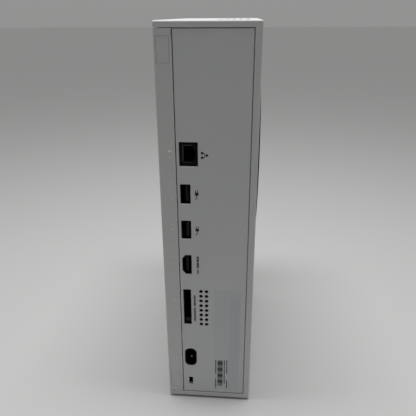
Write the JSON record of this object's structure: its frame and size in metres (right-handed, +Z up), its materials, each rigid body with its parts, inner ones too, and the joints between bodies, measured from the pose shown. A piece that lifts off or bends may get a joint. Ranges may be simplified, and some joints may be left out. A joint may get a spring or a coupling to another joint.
{
  "type": "game console",
  "caption": "Slim white upright game console with a round black fan grille, rear sockets and slots, front power and pairing buttons, and a full interior with a spinning fan.",
  "frame": {"origin": "on the surface it stands on, under the middle of the overall box", "axes": "+Z up along its length, -Y to the front with the power button, +Y to the rear with the sockets, +X to the removable base side, -X to the fan grille"},
  "size_m": [0.065, 0.1518, 0.275],
  "materials": {
    "white_shell": "fine matte texture",
    "white_panel": "fine matte texture",
    "white_button": "satin",
    "white_rubber": "matte",
    "label": "satin film",
    "black_grille": "fine matte texture",
    "black_plastic": "matte",
    "clear_lens": "clear",
    "connector_plastic": "satin",
    "nickel": "bright nickel plate",
    "black_nickel": "black nickel plate",
    "gold_contact": "gold plate",
    "steel": "tin-plated sheet",
    "zinc_screw": "zinc plate",
    "copper": "machined copper",
    "aluminium": "mill finish",
    "circuit_board": "solder mask",
    "chip": "moulded",
    "silicon": "polished",
    "coil_core": "pressed ferrite",
    "capacitor_can": "bright can",
    "supply_part": "varnished windings and cans",
    "fan_plastic": "glass-filled nylon",
    "magnet": "bonded ferrite",
    "winding": "enamelled copper",
    "antenna_metal": "tinned"
  },
  "bodies": {
    "console": {"cover_shell": "white_shell", "base_shell": "white_shell", "rear_panel": "white_panel", "fan_grille": "black_grille", "rating_label": "label", "screw_cover_upper": "white_panel", "screw_cover_lower": "white_panel", "side_feet": "white_rubber", "end_feet": "white_rubber", "power_button_board": "circuit_board", "power_switch": "black_plastic", "status_light": "silicon", "pair_switch": "black_plastic", "front_io_board": "circuit_board", "front_usb_shell": "black_nickel", "front_usb_tongue": "connector_plastic", "rear_usb_shell_upper": "black_nickel", "rear_usb_tongue_upper": "connector_plastic", "rear_usb_shell_lower": "black_nickel", "rear_usb_tongue_lower": "connector_plastic", "video_port_shell": "black_nickel", "video_port_tongue": "connector_plastic", "ethernet_jack": "connector_plastic", "ethernet_contacts": "gold_contact", "expansion_slot": "connector_plastic", "power_inlet": "connector_plastic", "inlet_pins": "nickel", "lock_plate": "steel", "main_board": "circuit_board", "processor": "silicon", "memory_chips": "chip", "voltage_coils": "coil_core", "board_capacitors": "capacitor_can", "battery_holder": "black_plastic", "clock_battery": "nickel", "ssd_module": "chip", "wireless_card": "nickel", "antennas": "antenna_metal", "upper_shield": "steel", "lower_shield": "steel", "heat_sink_base": "copper", "heat_sink_fins": "aluminium", "clamp_spring": "steel", "clamp_screws": "zinc_screw", "fan_frame": "fan_plastic", "fan_motor": "winding", "fan_bearing": "copper", "power_supply_case": "black_plastic", "power_supply_board": "circuit_board", "supply_parts": "supply_part", "shell_screws": "zinc_screw", "board_screws": "zinc_screw"},
    "fan": {"fan_rotor": "fan_plastic", "fan_shaft": "steel", "rotor_magnet": "magnet"},
    "power_button": {"power_button_cap": "white_button", "power_button_lens": "clear_lens", "power_switch_plunger": "black_plastic"},
    "pair_button": {"pair_button_cap": "white_button", "pair_switch_plunger": "black_plastic"}
  },
  "joints": [
    {"name": "fan_spin", "type": "hinge", "parent": "console", "child": "fan", "pos_m": [0, 0, 0.188], "axis": [1, 0, 0], "continuous": true},
    {"name": "power_button_press", "type": "slide", "parent": "console", "child": "power_button", "axis": [0, 1, 0], "range_m": [0, 0.0008], "stiffness_N_per_m": 700, "springref_m": -0.0006},
    {"name": "pair_button_press", "type": "slide", "parent": "console", "child": "pair_button", "axis": [0, 1, 0], "range_m": [0, 0.0006], "stiffness_N_per_m": 700, "springref_m": -0.0006}
  ]
}
